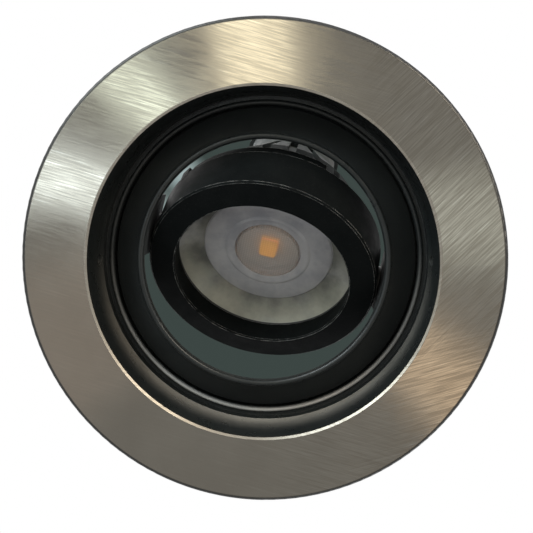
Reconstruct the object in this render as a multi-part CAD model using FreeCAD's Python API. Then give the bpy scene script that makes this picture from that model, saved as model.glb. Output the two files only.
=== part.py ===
import FreeCAD, Part
import math
import os

V = FreeCAD.Vector

# Frame: origin at the centre of the ceiling plane that the flange is pulled against.
# +Z goes up into the soffit, the light shines down. Millimetres and degrees.

# Driving dimensions: trim, housing and cut-out
TRIM_COVER = 13.5           # the trim reaches this far past the can, over the cut-out's edge
BEZEL_SHEET = 1.0
BEZEL_NOSE = 0.4            # height of the small bright edge inside the trim
BEZEL_CROWN = 1.4           # the inner edge stands this much prouder than the outer
BEZEL_EDGE_RADIUS = 0.8
GASKET_THICK = 0.8
FLANGE_EDGE_THICK = 1.0
FLANGE_SETBACK = 1.6        # the flange stops this much inside the trim's edge
GASKET_INSET = 3.9          # and the gasket this much inside the flange's edge
GASKET_CLEARANCE = 2.0      # between the gasket and the can
HOUSING_WALL = 2.4          # side wall of the can that passes through the cut-out
HOUSING_TOP_Z = 21.0
BAFFLE_WALL_TAPER = 0.4
COVE_RADIUS = 2.6           # round corner where the baffle turns into its floor
STEP_Z = 9.3                # sharp edge at the end of the cove
STEP_DEPTH = 3.3
FLOOR_WIDTH = 1.6           # level floor between the step and the middle of the bead
BEAD_RADIUS = 0.65          # raised bead around the swivel ring
FLOOR_THICK = 2.2

# Swivel ring and its bearing
RUNNING_GAP = 0.3
FACE_REACH = 8.0            # the conical black face runs this far out from its rim
RIM_CLEARANCE = 0.5         # between the rim and the head that tilts in it
RIM_Z = 4.4
SWIVEL_WALL = 1.9
SWIVEL_NECK = 2.0
SWIVEL_FLANGE_THICK = 1.5
SWIVEL_FLANGE_REACH = 3.4
GLIDE_THICK = 0.6
CIRCLIP_THICK = 1.0
CIRCLIP_REACH = 2.2         # how far the circlip stands in from the housing wall
CIRCLIP_SEAT = 0.7          # how deep it sits in the wall
CIRCLIP_GAP_DEG = 26.0
CIRCLIP_EYE_R = 1.3
STOP_WIDTH = 4.0
STOP_RADIAL = 1.2

# Tilting head
AXIS_TURN = 13.5            # the tilt axis is turned this much from X
TILT = 36.0                 # tilt from straight down in the rest pose
PIVOT_Z = 19.0
EAR_THICK = 4.0
EAR_BACK = 5.2              # the ears reach this far behind the pivot
EAR_HALF_UP = 9.0
EAR_HALF_DOWN = 6.4
PIN_R = 1.6
PIN_COVER = 0.5             # barrel wall left inside the end of each pivot pin
PIN_PLAY = 0.15
WASHER_R = 4.6
WASHER_THICK = 0.7
WASHER_PLAY = 0.3           # between a washer and the ear beside it
BARREL_WALL = 3.7
HEAD_FRONT = 7.8            # the front edge lies this far in front of the pivot
LIP_RISE = 0.8
LIP_EDGE = 0.45
LAMP_LEDGE = 2.3            # the barrel's seat hides this much of the lamp's edge
THROAT_TAPER = 0.4
LAMP_SEAT = 2.1             # front of the lamp's seal, in front of the pivot
BARREL_BACK = 4.8           # the plain barrel ends this far behind the pivot
SKIRT_BACK = 8.0
SKIRT_SETBACK = 0.9
SKIRT_SPANS = ((70.0, 145.0), (250.0, 325.0))
STOP_LUG_SPAN = (145.0, 150.5)
STOP_LUG_PROUD = 0.1
STOP_LUG_LENGTH = 3.2
WASHER_FLAT = 0.4           # depth of the barrel's flats under the washers
LAMP_CLEARANCE = 0.4
CLIP_WIRE_R = 0.6
CLIP_GAP_DEG = 34.0
CLIP_TIP = 8.0

# Lamp, 50 mm across, and its holder
LAMP_R = 25.0
SEAL_THICK = 0.6
LAMP_RIM_DEPTH = 3.6
LENS_THICK = 1.6
OPTIC_DEPTH = 5.0
OPTIC_RIM_THICK = 1.2
OPTIC_TOP_R = 16.5
OPTIC_FOOT_R = 5.2
OPTIC_SOCKET_R = 3.6        # hollow over the chip
OPTIC_SOCKET_DEPTH = 2.0
BOARD_LEDGE = 3.2           # ledge of the lamp's cup that the optic's rim lies on
BOARD_THICK = 1.2
CHIP_SIDE = 4.6
CHIP_THICK = 0.9
LAMP_WALL = 1.3
FIN_COUNT = 20
FIN_GROOVE = 2.2
FIN_GROOVE_DEPTH = 1.5
LAMP_BODY_LENGTH = 38.0
LAMP_NECK_R = 13.2
LAMP_BULGE = 3.2            # how far the back swells out half way down
CAP_R = 12.4
CAP_LENGTH = 8.0
LAMP_PIN_PITCH = 10.0
LAMP_PIN_R = 1.6
LAMP_PIN_HEAD_R = 2.4
LAMP_PIN_LENGTH = 7.0
LAMP_PIN_HEAD = 2.6
HOLDER_R = 13.4
HOLDER_FRONT_WALL = 3.2
HOLDER_LENGTH = 12.0
HOLDER_COVER = 4.2
HOLDER_SLOT_SWEEP = 28.0
CONTACT_THICK = 0.7
HOLDER_CHAMBER_CLEARANCE = 0.35
HOLDER_ROOF = 1.5
HOLDER_SCREW_R = 1.5
HOLDER_SCREW_RADIUS = 9.6
HOLDER_SCREW_BITE = 6.0
HOLDER_SCREW_HEAD_R = 2.5
HOLDER_SCREW_HEAD = 1.1
HOLDER_SCREW_SLOT = 0.7
WIRE_ENTRY_R = 1.5
WIRE_ENTRY_DEPTH = 3.0
WIRE_ENTRY_PITCH = 8.0

# Sprung arms that hold the fitting up
PAD_PROUD = 1.0             # the flat that the bracket is riveted to stands out from the can
PAD_HALF_WIDTH = 8.0
BRACKET_SHEET = 1.0
BRACKET_HALF_WIDTH = 6.5
BRACKET_LOW_Z = 5.0
BRACKET_MARGIN = 3.6        # bracket sheet above the pin
BRACKET_NOSE = 2.6          # and in front of it
SPRING_PIN_R = 1.25
WIRE_R = 0.55
COIL_R = 2.3
COIL_PITCH = 1.7
COIL_WINDS = 4              # whole turns, less the part that the two legs take up
COIL_CLEARANCE = 0.6
WALL_LEG = 6.6
ARM_LEG = 10.5
ARM_LENGTH = 16.0
ARM_DROP = -68.0            # the arm's slope at rest, from level
ARM_TIP_CLEARANCE = 0.1     # between the sleeve at rest and the ceiling plane
ARM_SHEET = 0.8
ARM_CHEEK_GAP = 0.35
SLEEVE_LENGTH = 4.8
SLEEVE_WALL = 0.9
SLEEVE_ROUND = 0.63
RIVET_R = 1.3
RIVET_HEAD_R = 2.2
RIVET_HEAD = 0.8

# Values worked out from the above. The radii grow outwards from the lamp: head, rim, swivel ring,
# can and trim.
BORE_R = LAMP_R + LAMP_CLEARANCE
LENS_VISIBLE_R = LAMP_R - LAMP_LEDGE
APERTURE_R = LENS_VISIBLE_R - THROAT_TAPER
HEAD_OUTER_R = BORE_R + BARREL_WALL
EAR_FACE = HEAD_OUTER_R - WASHER_FLAT + WASHER_THICK + WASHER_PLAY
PIN_INNER = BORE_R + PIN_COVER
RIM_R = HEAD_OUTER_R + RIM_CLEARANCE
SWIVEL_FACE_R = RIM_R + FACE_REACH
FLOOR_OPENING_R = SWIVEL_FACE_R + 2 * RUNNING_GAP
BEAD_R = FLOOR_OPENING_R + BEAD_RADIUS
STEP_R = BEAD_R + FLOOR_WIDTH
BAFFLE_LOW_R = STEP_R + 0.25 * COVE_RADIUS
BEZEL_INNER_R = BAFFLE_LOW_R + BAFFLE_WALL_TAPER
SWIVEL_FLANGE_R = SWIVEL_FACE_R + SWIVEL_FLANGE_REACH
CAVITY_R = SWIVEL_FLANGE_R + 2 * RUNNING_GAP
HOUSING_OUTER_R = CAVITY_R + HOUSING_WALL
BEZEL_OUTER_R = HOUSING_OUTER_R + TRIM_COVER
FLANGE_R = BEZEL_OUTER_R - FLANGE_SETBACK
FLANGE_BACK_Z = -GASKET_THICK
BEZEL_BACK_OUTER_Z = FLANGE_BACK_Z - FLANGE_EDGE_THICK
BEZEL_BACK_INNER_Z = BEZEL_BACK_OUTER_Z - BEZEL_CROWN
FLOOR_Z = STEP_Z + STEP_DEPTH
FLOOR_TOP_Z = FLOOR_Z + FLOOR_THICK
SWIVEL_FACE_Z = FLOOR_Z + RUNNING_GAP
SWIVEL_FLANGE_Z = FLOOR_TOP_Z + GLIDE_THICK + RUNNING_GAP
SWIVEL_TOP_Z = SWIVEL_FLANGE_Z + SWIVEL_FLANGE_THICK
CIRCLIP_Z = SWIVEL_TOP_Z + RUNNING_GAP
SEAT_BACK = LAMP_SEAT - SEAL_THICK
LAMP_RIM_BACK = SEAT_BACK - LAMP_RIM_DEPTH
CLIP_AT = LAMP_RIM_BACK - CLIP_WIRE_R
LAMP_BACK = SEAT_BACK - LAMP_BODY_LENGTH
CAP_BACK = LAMP_BACK - CAP_LENGTH
HOLDER_BACK = CAP_BACK - HOLDER_LENGTH
PAD_FLAT = HOUSING_OUTER_R + PAD_PROUD
SPRING_PIN_X = PAD_FLAT + BRACKET_SHEET + COIL_R + WIRE_R + COIL_CLEARANCE
SLEEVE_HALF = 0.5 * ARM_SHEET + SLEEVE_WALL
ARM_SLOPE = math.radians(-ARM_DROP)
SPRING_PIN_Z = (ARM_TIP_CLEARANCE + SLEEVE_ROUND + (SLEEVE_HALF - SLEEVE_ROUND) * math.cos(ARM_SLOPE)
                + (ARM_LENGTH + SLEEVE_WALL - SLEEVE_ROUND) * math.sin(ARM_SLOPE))
BRACKET_HIGH_Z = SPRING_PIN_Z + BRACKET_MARGIN
BRACKET_REACH = SPRING_PIN_X + BRACKET_NOSE
CHEEK_IN = BRACKET_HALF_WIDTH - BRACKET_SHEET
ARM_HALF_WIDTH = CHEEK_IN - ARM_CHEEK_GAP
SOLIDS = {}


def revolve(points):
    """A full turn about Z of a closed outline of (radius, height) points."""
    wire = Part.makePolygon([V(r, 0, z) for r, z in points] + [V(points[0][0], 0, points[0][1])])
    return Part.Face(wire).revolve(V(0, 0, 0), V(0, 0, 1), 360)


def revolveEdges(edges):
    return Part.Face(Part.Wire(edges)).revolve(V(0, 0, 0), V(0, 0, 1), 360)


def line(a, b):
    return Part.LineSegment(V(a[0], 0, a[1]), V(b[0], 0, b[1])).toShape()


def arc(a, m, b):
    return Part.Arc(V(a[0], 0, a[1]), V(m[0], 0, m[1]), V(b[0], 0, b[1])).toShape()


def ring(inner, outer, low, high):
    return revolve([(inner, low), (outer, low), (outer, high), (inner, high)])


def sector(inner, outer, low, high, start, end):
    """Part of a ring between two angles about Z."""
    face = Part.Face(Part.makePolygon([V(inner, 0, low), V(outer, 0, low), V(outer, 0, high),
                                       V(inner, 0, high), V(inner, 0, low)]))
    piece = face.revolve(V(0, 0, 0), V(0, 0, 1), end - start)
    piece.rotate(V(0, 0, 0), V(0, 0, 1), start)
    return piece


def block(x0, x1, y0, y1, z0, z1):
    return Part.makeBox(x1 - x0, y1 - y0, z1 - z0, V(x0, y0, z0))


def rod(radius, start, end):
    axis = end - start
    return Part.makeCylinder(radius, axis.Length, start, axis)


def polar(radius, degrees, z):
    angle = math.radians(degrees)
    return V(radius * math.cos(angle), radius * math.sin(angle), z)


def turned(shape, degrees, centre=V(0, 0, 0), axis=V(0, 0, 1)):
    copy = shape.copy()
    copy.rotate(centre, axis, degrees)
    return copy


def keep(name, shape):
    SOLIDS[name] = shape


# Trim and housing

def bezel():
    """Crowned sheet ring with a rounded, returned outer edge and a turned-in bright inner edge."""
    outerFace = BEZEL_BACK_OUTER_Z - BEZEL_SHEET
    innerFace = BEZEL_BACK_INNER_Z - BEZEL_SHEET
    radius = BEZEL_EDGE_RADIUS
    bend = radius * (1 - math.sqrt(0.5))
    skirtInner = FLANGE_R
    skirtEnd = FLANGE_BACK_Z + 0.5 * GASKET_THICK
    edges = [
        line((BEZEL_OUTER_R, skirtEnd), (BEZEL_OUTER_R, outerFace + radius)),
        arc((BEZEL_OUTER_R, outerFace + radius), (BEZEL_OUTER_R - bend, outerFace + bend),
            (BEZEL_OUTER_R - radius, outerFace)),
        line((BEZEL_OUTER_R - radius, outerFace), (BEZEL_INNER_R + 0.5 * BEZEL_SHEET, innerFace)),
        line((BEZEL_INNER_R + 0.5 * BEZEL_SHEET, innerFace), (BEZEL_INNER_R, innerFace + BEZEL_NOSE)),
        line((BEZEL_INNER_R, innerFace + BEZEL_NOSE), (BEZEL_INNER_R, BEZEL_BACK_INNER_Z)),
        line((BEZEL_INNER_R, BEZEL_BACK_INNER_Z), (skirtInner, BEZEL_BACK_OUTER_Z)),
        line((skirtInner, BEZEL_BACK_OUTER_Z), (skirtInner, skirtEnd)),
        line((skirtInner, skirtEnd), (BEZEL_OUTER_R, skirtEnd)),
    ]
    keep("bezel", revolveEdges(edges))


def bracketPad():
    """Flat on the can's side that a spring bracket is riveted to."""
    pad = block(HOUSING_OUTER_R - 2.0, PAD_FLAT, -PAD_HALF_WIDTH, PAD_HALF_WIDTH,
                FLANGE_BACK_Z, HOUSING_TOP_Z)
    return pad.cut(ring(0, CAVITY_R + 1.0, FLANGE_BACK_Z, HOUSING_TOP_Z))


def housing():
    """Flange, deep baffle, stepped and beaded floor, and the cavity that the swivel ring turns in."""
    top = HOUSING_TOP_Z
    coveZ = STEP_Z - COVE_RADIUS
    coveR = BAFFLE_LOW_R
    coveMid = (coveR - 0.06 * COVE_RADIUS, coveZ + 0.55 * COVE_RADIUS)
    beadOut = (BEAD_R + BEAD_RADIUS, FLOOR_Z)
    beadTop = (BEAD_R, FLOOR_Z - 1.5 * BEAD_RADIUS)
    beadIn = (BEAD_R - BEAD_RADIUS, FLOOR_Z)
    edges = [
        line((BEZEL_INNER_R, BEZEL_BACK_INNER_Z), (coveR, coveZ)),
        arc((coveR, coveZ), coveMid, (STEP_R, STEP_Z)),
        line((STEP_R, STEP_Z), (STEP_R, FLOOR_Z)),
        line((STEP_R, FLOOR_Z), beadOut),
        arc(beadOut, beadTop, beadIn),
        line(beadIn, (FLOOR_OPENING_R, FLOOR_TOP_Z)),
        line((FLOOR_OPENING_R, FLOOR_TOP_Z), (CAVITY_R, FLOOR_TOP_Z)),
        line((CAVITY_R, FLOOR_TOP_Z), (CAVITY_R, top)),
        line((CAVITY_R, top), (HOUSING_OUTER_R, top)),
        line((HOUSING_OUTER_R, top), (HOUSING_OUTER_R, FLANGE_BACK_Z)),
        line((HOUSING_OUTER_R, FLANGE_BACK_Z), (FLANGE_R, FLANGE_BACK_Z)),
        line((FLANGE_R, FLANGE_BACK_Z), (FLANGE_R, BEZEL_BACK_OUTER_Z)),
        line((FLANGE_R, BEZEL_BACK_OUTER_Z), (BEZEL_INNER_R, BEZEL_BACK_INNER_Z)),
    ]
    body = revolveEdges(edges)
    pad = bracketPad()
    body = body.fuse([pad, turned(pad, 180)])
    groove = ring(CAVITY_R - 1.0, CAVITY_R + CIRCLIP_SEAT, CIRCLIP_Z, CIRCLIP_Z + CIRCLIP_THICK)
    stop = turned(stopBlock(CIRCLIP_Z + CIRCLIP_THICK + RUNNING_GAP, top, CAVITY_R + 1.0), 180)
    body = body.cut(groove).fuse(stop)
    for side in (0, 180):
        for z in rivetHeights():
            hole = rod(RIVET_R, V(CAVITY_R - 1.0, 0, z), V(PAD_FLAT + 1.0, 0, z))
            body = body.cut(turned(hole, side))
    keep("housing", body.removeSplitter())


def stopBlock(low, high, outer):
    """Small finger inside the top of the can, at the circlip's inner edge."""
    inner = SWIVEL_FACE_R
    finger = block(inner, outer, -0.5 * STOP_WIDTH, 0.5 * STOP_WIDTH, low, high)
    return turned(finger, AXIS_TURN + 90)


def flangeGasket():
    keep("flange_gasket", ring(HOUSING_OUTER_R + GASKET_CLEARANCE, FLANGE_R - GASKET_INSET,
                              FLANGE_BACK_Z, 0))


def glideRing():
    keep("glide_ring", ring(FLOOR_OPENING_R, SWIVEL_FLANGE_R, FLOOR_TOP_Z, FLOOR_TOP_Z + GLIDE_THICK))


def circlip():
    """Spring-steel ring in the can's groove, open at one side, that keeps the swivel ring in."""
    half = 0.5 * CIRCLIP_GAP_DEG
    inner = CAVITY_R - CIRCLIP_REACH
    body = sector(inner, CAVITY_R + CIRCLIP_SEAT, CIRCLIP_Z, CIRCLIP_Z + CIRCLIP_THICK, half, 360 - half)
    middle = inner + CIRCLIP_EYE_R
    for angle in (half + 1.0, -half - 1.0):
        low, high = polar(middle, angle, CIRCLIP_Z), polar(middle, angle, CIRCLIP_Z + CIRCLIP_THICK)
        hole = rod(0.5 * CIRCLIP_EYE_R, low - V(0, 0, 1), high + V(0, 0, 1))
        body = body.fuse(rod(CIRCLIP_EYE_R, low, high)).cut(hole)
    keep("swivel_circlip", turned(body.removeSplitter(), 90))


# Swivel ring

def swivelProfile():
    neckR = SWIVEL_FACE_R - SWIVEL_NECK
    slope = (SWIVEL_FACE_Z - RIM_Z) / (SWIVEL_FACE_R - RIM_R)
    nose = 0.35 * SWIVEL_WALL
    backRimZ = RIM_Z + 1.3 * SWIVEL_WALL
    backNeckZ = SWIVEL_FACE_Z + 0.5 * SWIVEL_WALL
    noseOut = (RIM_R + 2 * nose, RIM_Z + 2 * nose * slope)
    noseTop = (RIM_R + 0.6 * nose, RIM_Z + 0.25 * nose)
    noseIn = (RIM_R, RIM_Z + nose)
    return [
        line((SWIVEL_FACE_R, SWIVEL_FACE_Z), noseOut),
        arc(noseOut, noseTop, noseIn),
        line(noseIn, (RIM_R, backRimZ)),
        line((RIM_R, backRimZ), (neckR, backNeckZ)),
        line((neckR, backNeckZ), (neckR, SWIVEL_TOP_Z)),
        line((neckR, SWIVEL_TOP_Z), (SWIVEL_FLANGE_R, SWIVEL_TOP_Z)),
        line((SWIVEL_FLANGE_R, SWIVEL_TOP_Z), (SWIVEL_FLANGE_R, SWIVEL_FLANGE_Z)),
        line((SWIVEL_FLANGE_R, SWIVEL_FLANGE_Z), (SWIVEL_FACE_R, SWIVEL_FLANGE_Z)),
        line((SWIVEL_FACE_R, SWIVEL_FLANGE_Z), (SWIVEL_FACE_R, SWIVEL_FACE_Z)),
    ]


def swivelRing():
    """Conical black face down to the rim, neck, bearing flange, two pivot ears and a stop finger."""
    neckR = SWIVEL_FACE_R - SWIVEL_NECK
    body = revolveEdges(swivelProfile())
    behindRimZ = RIM_Z + 0.5 * SWIVEL_WALL
    front = revolve([(0, FLANGE_BACK_Z), (SWIVEL_FACE_R, FLANGE_BACK_Z),
                     (SWIVEL_FACE_R, SWIVEL_FACE_Z + 0.1), (RIM_R, behindRimZ), (0, behindRimZ)])
    for side in (1, -1):
        low, high = (-EAR_HALF_UP, EAR_HALF_DOWN) if side > 0 else (-EAR_HALF_DOWN, EAR_HALF_UP)
        lug = block(EAR_FACE, EAR_FACE + EAR_THICK, low, high, behindRimZ, PIVOT_Z + EAR_BACK)
        web = block(EAR_FACE + 1.0, neckR + 0.5, -EAR_HALF_DOWN + 2.0, EAR_HALF_DOWN - 2.0,
                    SWIVEL_FACE_Z + 1.5, SWIVEL_TOP_Z)
        carried = lug.fuse(web).cut(front)
        hole = rod(PIN_R, V(EAR_FACE - 2.0, 0, PIVOT_Z), V(EAR_FACE + EAR_THICK, 0, PIVOT_Z))
        turn = 0 if side > 0 else 180
        body = body.fuse(turned(carried, turn)).cut(turned(hole, turn))
    finger = block(SWIVEL_FACE_R, SWIVEL_FACE_R + STOP_RADIAL, -0.5 * STOP_WIDTH, 0.5 * STOP_WIDTH,
                   SWIVEL_FLANGE_Z, HOUSING_TOP_Z - RUNNING_GAP)
    body = body.fuse(turned(finger, 90)).removeSplitter()
    keep("swivel_ring", turned(body, AXIS_TURN))


def pivotPins():
    for name, turn in (("pivot_pin_right", 0), ("pivot_pin_left", 180)):
        pin = rod(PIN_R, V(PIN_INNER, 0, PIVOT_Z), V(EAR_FACE + EAR_THICK, 0, PIVOT_Z))
        keep(name, turned(pin, AXIS_TURN + turn))


# Tilting head. Its pieces are made pointing straight down, with the pivot at the origin,
# the tilt axis along X and depths counted forward along the light, so z = -depth.

def forward(points):
    return [(r, -depth) for r, depth in points]


def place(shape):
    tilted = turned(shape, TILT, axis=V(1, 0, 0))
    tilted.translate(V(0, 0, PIVOT_Z))
    return turned(tilted, AXIS_TURN)


def headBarrel():
    """Barrel with a front lip, a seat for the lamp, rear skirts, a stop lug and the clip's groove."""
    lipFront = HEAD_FRONT + LIP_RISE
    outline = forward([
        (HEAD_OUTER_R, -BARREL_BACK), (HEAD_OUTER_R, HEAD_FRONT - LIP_EDGE),
        (HEAD_OUTER_R - LIP_EDGE, HEAD_FRONT), (APERTURE_R + 0.6 * LIP_EDGE, lipFront),
        (APERTURE_R, lipFront - LIP_EDGE), (LENS_VISIBLE_R, LAMP_SEAT), (BORE_R, LAMP_SEAT),
        (BORE_R, -BARREL_BACK)])
    body = revolve(outline)
    for start, end in SKIRT_SPANS:
        body = body.fuse(sector(BORE_R, HEAD_OUTER_R - SKIRT_SETBACK, 0, SKIRT_BACK, -end, -start))
    start, end = STOP_LUG_SPAN
    lugLow = BARREL_BACK - 1.0
    body = body.fuse(sector(BORE_R, HEAD_OUTER_R + STOP_LUG_PROUD, lugLow, lugLow + STOP_LUG_LENGTH,
                            -end, -start))
    for turn in (0, 180):
        face = HEAD_OUTER_R - WASHER_FLAT
        flat = block(face, HEAD_OUTER_R + 1.0, -WASHER_R, WASHER_R, -WASHER_R, WASHER_R)
        hole = rod(PIN_R + PIN_PLAY, V(BORE_R - 1.0, 0, 0), V(HEAD_OUTER_R + 1.0, 0, 0))
        body = body.cut(turned(flat, turn)).cut(turned(hole, turn))
    groove = Part.makeTorus(BORE_R, CLIP_WIRE_R, V(0, 0, -CLIP_AT))
    keep("head_barrel", place(body.cut(groove).removeSplitter()))


def frictionWashers():
    for name, turn in (("friction_washer_right", 0), ("friction_washer_left", 180)):
        face = HEAD_OUTER_R - WASHER_FLAT
        disc = rod(WASHER_R - 0.3, V(face, 0, 0), V(face + WASHER_THICK, 0, 0))
        disc = disc.cut(rod(PIN_R + PIN_PLAY, V(face - 1, 0, 0), V(face + 2, 0, 0)))
        keep(name, place(turned(disc, turn)))


def lampSeal():
    keep("lamp_seal", place(revolve(forward([(LENS_VISIBLE_R, LAMP_SEAT), (LAMP_R, LAMP_SEAT),
                                             (LAMP_R, SEAT_BACK), (LENS_VISIBLE_R, SEAT_BACK)]))))


def lampClip():
    """Spring wire in the barrel's groove behind the lamp's rim, with two ends turned in to pinch."""
    half = 0.5 * CLIP_GAP_DEG
    circle = Part.Face(Part.Wire(Part.makeCircle(CLIP_WIRE_R, V(BORE_R, 0, -CLIP_AT), V(0, 1, 0))))
    wire = circle.revolve(V(0, 0, 0), V(0, 0, 1), 360 - 2 * half)
    wire.rotate(V(0, 0, 0), V(0, 0, 1), half - 90)
    tipR = BORE_R - CLIP_WIRE_R - 0.1
    for angle in (half - 90, -half - 90):
        foot = polar(tipR, angle, -CLIP_AT)
        tip = rod(CLIP_WIRE_R, foot, polar(tipR, angle, -CLIP_AT + CLIP_TIP))
        wire = wire.fuse([tip, Part.makeSphere(CLIP_WIRE_R, foot)])
    keep("lamp_clip", place(wire.removeSplitter()))


# Lamp

LENS_R = LAMP_R - LAMP_WALL
OPTIC_FRONT = SEAT_BACK - LENS_THICK
BOARD_FRONT = OPTIC_FRONT - OPTIC_DEPTH
BOARD_BACK = BOARD_FRONT - BOARD_THICK
LAMP_TAPER_R = LAMP_R - 1.4
BOARD_R = LENS_R - BOARD_LEDGE
OPTIC_RIM_BACK = OPTIC_FRONT - OPTIC_RIM_THICK


def lampLens():
    keep("lamp_lens", place(ring(0, LENS_R, -SEAT_BACK, -OPTIC_FRONT)))


def lampOptic():
    """Clear collimator: a cone that stands over the chip under the lens, with a flat rim."""
    socket = BOARD_FRONT + OPTIC_SOCKET_DEPTH
    points = forward([(OPTIC_SOCKET_R, BOARD_FRONT), (OPTIC_FOOT_R, BOARD_FRONT),
                      (OPTIC_TOP_R, OPTIC_RIM_BACK), (LENS_R, OPTIC_RIM_BACK), (LENS_R, OPTIC_FRONT),
                      (0, OPTIC_FRONT), (0, socket + 0.2), (OPTIC_SOCKET_R, socket)])
    keep("lamp_optic", place(revolve(points)))


def ledBoard():
    keep("led_board", place(ring(0, BOARD_R, -BOARD_FRONT, -BOARD_BACK)))


def ledChip():
    half = 0.5 * CHIP_SIDE
    keep("led_chip", place(block(-half, half, -half, half, -(BOARD_FRONT + CHIP_THICK), -BOARD_FRONT)))


def lampBody():
    """Rimmed cup with a ribbed, tapering back that ends in a neck for the cap."""
    shoulder = LAMP_RIM_BACK - 0.1
    mid = 0.5 * (shoulder + LAMP_BACK)
    bulgeR = 0.5 * (LAMP_TAPER_R + LAMP_NECK_R) + LAMP_BULGE
    outer = [(LAMP_R, SEAT_BACK), (LAMP_R, LAMP_RIM_BACK), (LAMP_TAPER_R, shoulder),
             (bulgeR, mid), (LAMP_NECK_R + 0.9, LAMP_BACK + 4.0),
             (LAMP_NECK_R, LAMP_BACK)]
    cavity = [(0, BOARD_BACK), (BOARD_R, BOARD_BACK), (BOARD_R, OPTIC_RIM_BACK), (LENS_R, OPTIC_RIM_BACK),
              (LENS_R, SEAT_BACK)]
    body = revolve(forward([(0, LAMP_BACK)] + cavity + outer))
    deep = FIN_GROOVE_DEPTH
    core = revolve(forward([(0, shoulder), (LAMP_TAPER_R - deep, shoulder), (bulgeR - deep, mid),
                            (LAMP_NECK_R + 0.9 - deep, LAMP_BACK + 4.0), (0, LAMP_BACK + 4.0)]))
    for index in range(FIN_COUNT):
        slot = block(0, LAMP_R + 1, -0.5 * FIN_GROOVE, 0.5 * FIN_GROOVE, 3.0 - shoulder, -LAMP_BACK - 4.0)
        body = body.cut(turned(slot.cut(core), index * 360.0 / FIN_COUNT))
    keep("lamp_body", place(body.removeSplitter()))


def lampCap():
    keep("lamp_cap", place(revolve(forward([(0, CAP_BACK), (0, LAMP_BACK), (CAP_R, LAMP_BACK),
                                            (CAP_R, CAP_BACK + 0.8), (CAP_R - 0.8, CAP_BACK)]))))


def lampPinSolid():
    """Neck and mushroom head of one pin, standing out of the cap."""
    foot, tip = V(0, 0, -CAP_BACK), V(0, 0, -CAP_BACK + LAMP_PIN_LENGTH)
    head = rod(LAMP_PIN_HEAD_R, tip - V(0, 0, LAMP_PIN_HEAD), tip)
    return rod(LAMP_PIN_R, foot, tip).fuse(head).removeSplitter()


def lampPins():
    half = 0.5 * LAMP_PIN_PITCH
    pins = [lampPinSolid(), lampPinSolid()]
    pins[0].translate(V(half, 0, 0))
    pins[1].translate(V(-half, 0, 0))
    keep("lamp_pins", place(Part.makeCompound(pins)))


# Holder that the lamp's pins twist into

def holderScrewTurns():
    return (90 + HOLDER_SLOT_SWEEP, 270 + HOLDER_SLOT_SWEEP)


def holderBody():
    """Ceramic block with two chambers for the pins, each reached through a curved keyhole slot."""
    base = -CAP_BACK
    body = Part.makeCylinder(HOLDER_R, HOLDER_LENGTH, V(0, 0, base))
    half = 0.5 * LAMP_PIN_PITCH
    clear = HOLDER_CHAMBER_CLEARANCE
    inner, outer = half - LAMP_PIN_HEAD_R - clear, half + LAMP_PIN_HEAD_R + clear
    for turn in (0, 180):
        neck = sector(half - LAMP_PIN_R - clear, half + LAMP_PIN_R + clear,
                      base - 1, base + HOLDER_FRONT_WALL + 1, -20, HOLDER_SLOT_SWEEP + 20)
        mouth = rod(LAMP_PIN_HEAD_R + clear, polar(half, HOLDER_SLOT_SWEEP + 14, base - 1),
                    polar(half, HOLDER_SLOT_SWEEP + 14, base + HOLDER_FRONT_WALL + 1))
        chamber = sector(inner, outer, base + HOLDER_FRONT_WALL, base + HOLDER_LENGTH - HOLDER_ROOF,
                         -34, HOLDER_SLOT_SWEEP + 48)
        body = body.cut(turned(neck.fuse([mouth, chamber]), turn))
    top = base + HOLDER_LENGTH
    for turn in holderScrewTurns():
        body = body.cut(rod(HOLDER_SCREW_R, polar(HOLDER_SCREW_RADIUS, turn, top - HOLDER_SCREW_BITE - 2.0),
                            polar(HOLDER_SCREW_RADIUS, turn, top + 1)))
    keep("lampholder_body", place(body.removeSplitter()))


def holderCover():
    base = -HOLDER_BACK
    body = Part.makeCylinder(HOLDER_R, HOLDER_COVER, V(0, 0, base))
    body = body.makeChamfer(0.8, [e for e in body.Edges if e.BoundBox.ZMin > base + HOLDER_COVER - 0.1
                                  and e.BoundBox.XLength > HOLDER_R])
    for turn in holderScrewTurns():
        body = body.cut(rod(HOLDER_SCREW_R, polar(HOLDER_SCREW_RADIUS, turn, base - 1),
                            polar(HOLDER_SCREW_RADIUS, turn, base + HOLDER_COVER + 1)))
    entryZ = base + HOLDER_COVER - WIRE_ENTRY_DEPTH
    for side in (-0.5, 0.5):
        body = body.cut(Part.makeCylinder(WIRE_ENTRY_R, WIRE_ENTRY_DEPTH,
                                          V(side * WIRE_ENTRY_PITCH, 0, entryZ)))
    keep("lampholder_cover", place(body))


def holderScrews():
    base = -HOLDER_BACK
    screws = []
    seat = base + HOLDER_COVER
    wide, deep = HOLDER_SCREW_HEAD_R, 0.5 * HOLDER_SCREW_HEAD
    for turn in holderScrewTurns():
        low = polar(HOLDER_SCREW_RADIUS, turn, base - HOLDER_SCREW_BITE)
        top = polar(HOLDER_SCREW_RADIUS, turn, seat)
        head = rod(HOLDER_SCREW_HEAD_R, top, polar(HOLDER_SCREW_RADIUS, turn, seat + HOLDER_SCREW_HEAD))
        slot = block(-wide, wide, -0.5 * HOLDER_SCREW_SLOT, 0.5 * HOLDER_SCREW_SLOT,
                     seat + deep, seat + HOLDER_SCREW_HEAD)
        slot.translate(polar(HOLDER_SCREW_RADIUS, turn, 0))
        screws.append(rod(HOLDER_SCREW_R, low, top).fuse(head).removeSplitter().cut(slot))
    keep("lampholder_screws", place(Part.makeCompound(screws)))


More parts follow.
